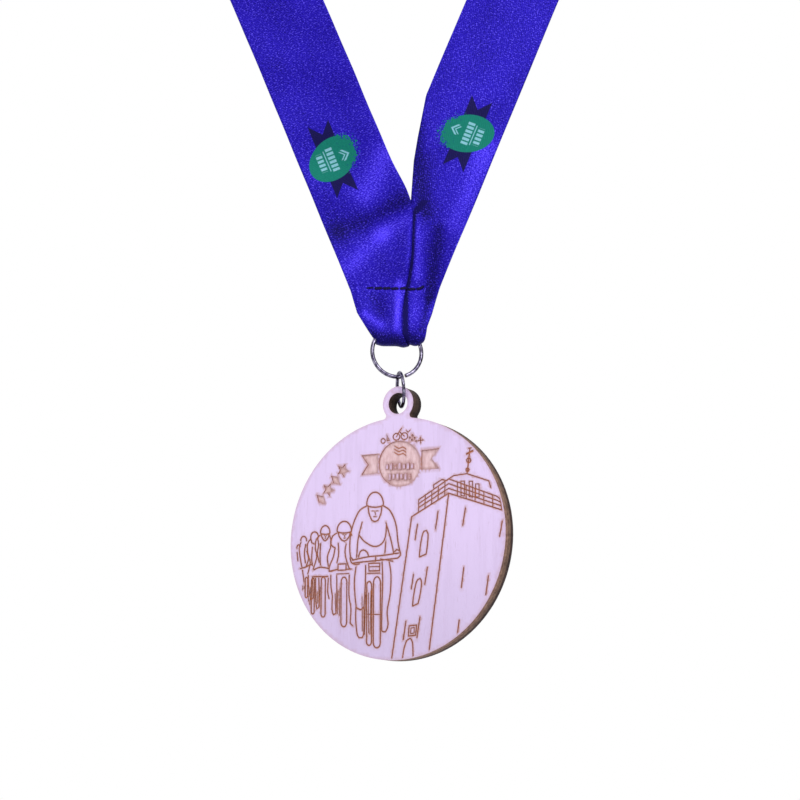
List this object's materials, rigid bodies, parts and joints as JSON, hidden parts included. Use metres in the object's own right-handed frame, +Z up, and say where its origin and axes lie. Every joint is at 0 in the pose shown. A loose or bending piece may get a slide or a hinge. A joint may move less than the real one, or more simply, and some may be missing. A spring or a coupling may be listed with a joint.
{
  "type": "sports finisher medal",
  "caption": "Round laser-engraved plywood medal with a hanging ear, on two jump rings and a sewn V neck ribbon.",
  "frame": {"origin": "top of the neck loop, on the inside, where the neck or a hook carries the ribbon; the neck_loop mount", "axes": "+Z up along the hanging ribbon; -Y the front, which the ribbon's printed side faces; +X to the right seen from the front. The disc hangs turned 28 degrees from -Y towards -X."},
  "size_m": [0.1748, 0.0374, 0.4296],
  "materials": {
    "engraved_ply": "pale sanded face veneer with burnt laser lines, charred cut edge",
    "core_ply": "charred laser-cut edge",
    "back_ply": "pale sanded veneer, charred cut edge",
    "nickel_wire": "bright nickel plate",
    "satin_ribbon": "glossy polyester satin, printed",
    "thread": "polyester sewing thread"
  },
  "bodies": {
    "ribbon": {"ribbon_neck_loop": "satin_ribbon", "ribbon_strap_left": "satin_ribbon", "ribbon_strap_right": "satin_ribbon", "needle_thread": "thread", "bobbin_thread": "thread"},
    "sling": {"ribbon_fold": "satin_ribbon", "large_ring": "nickel_wire"},
    "link": {"small_ring": "nickel_wire"},
    "medal": {"ply_front": "engraved_ply", "ply_core": "core_ply", "ply_back": "back_ply"}
  },
  "joints": [
    {"name": "ribbon_flex", "type": "hinge", "parent": "ribbon", "child": "sling", "pos_m": [0, 0, -0.32109], "axis": [1, 0, 0], "range_deg": [-45, 45]},
    {"name": "link_swing", "type": "hinge", "parent": "sling", "child": "link", "pos_m": [0.00163, 0, -0.34644], "axis": [0.9651, 0.2406, 0.103], "range_deg": [-60, 60]},
    {"name": "medal_swing", "type": "hinge", "parent": "link", "child": "medal", "pos_m": [0.0024, 0, -0.35474], "axis": [-0.471, -0.8821, 0], "range_deg": [-60, 60]}
  ]
}
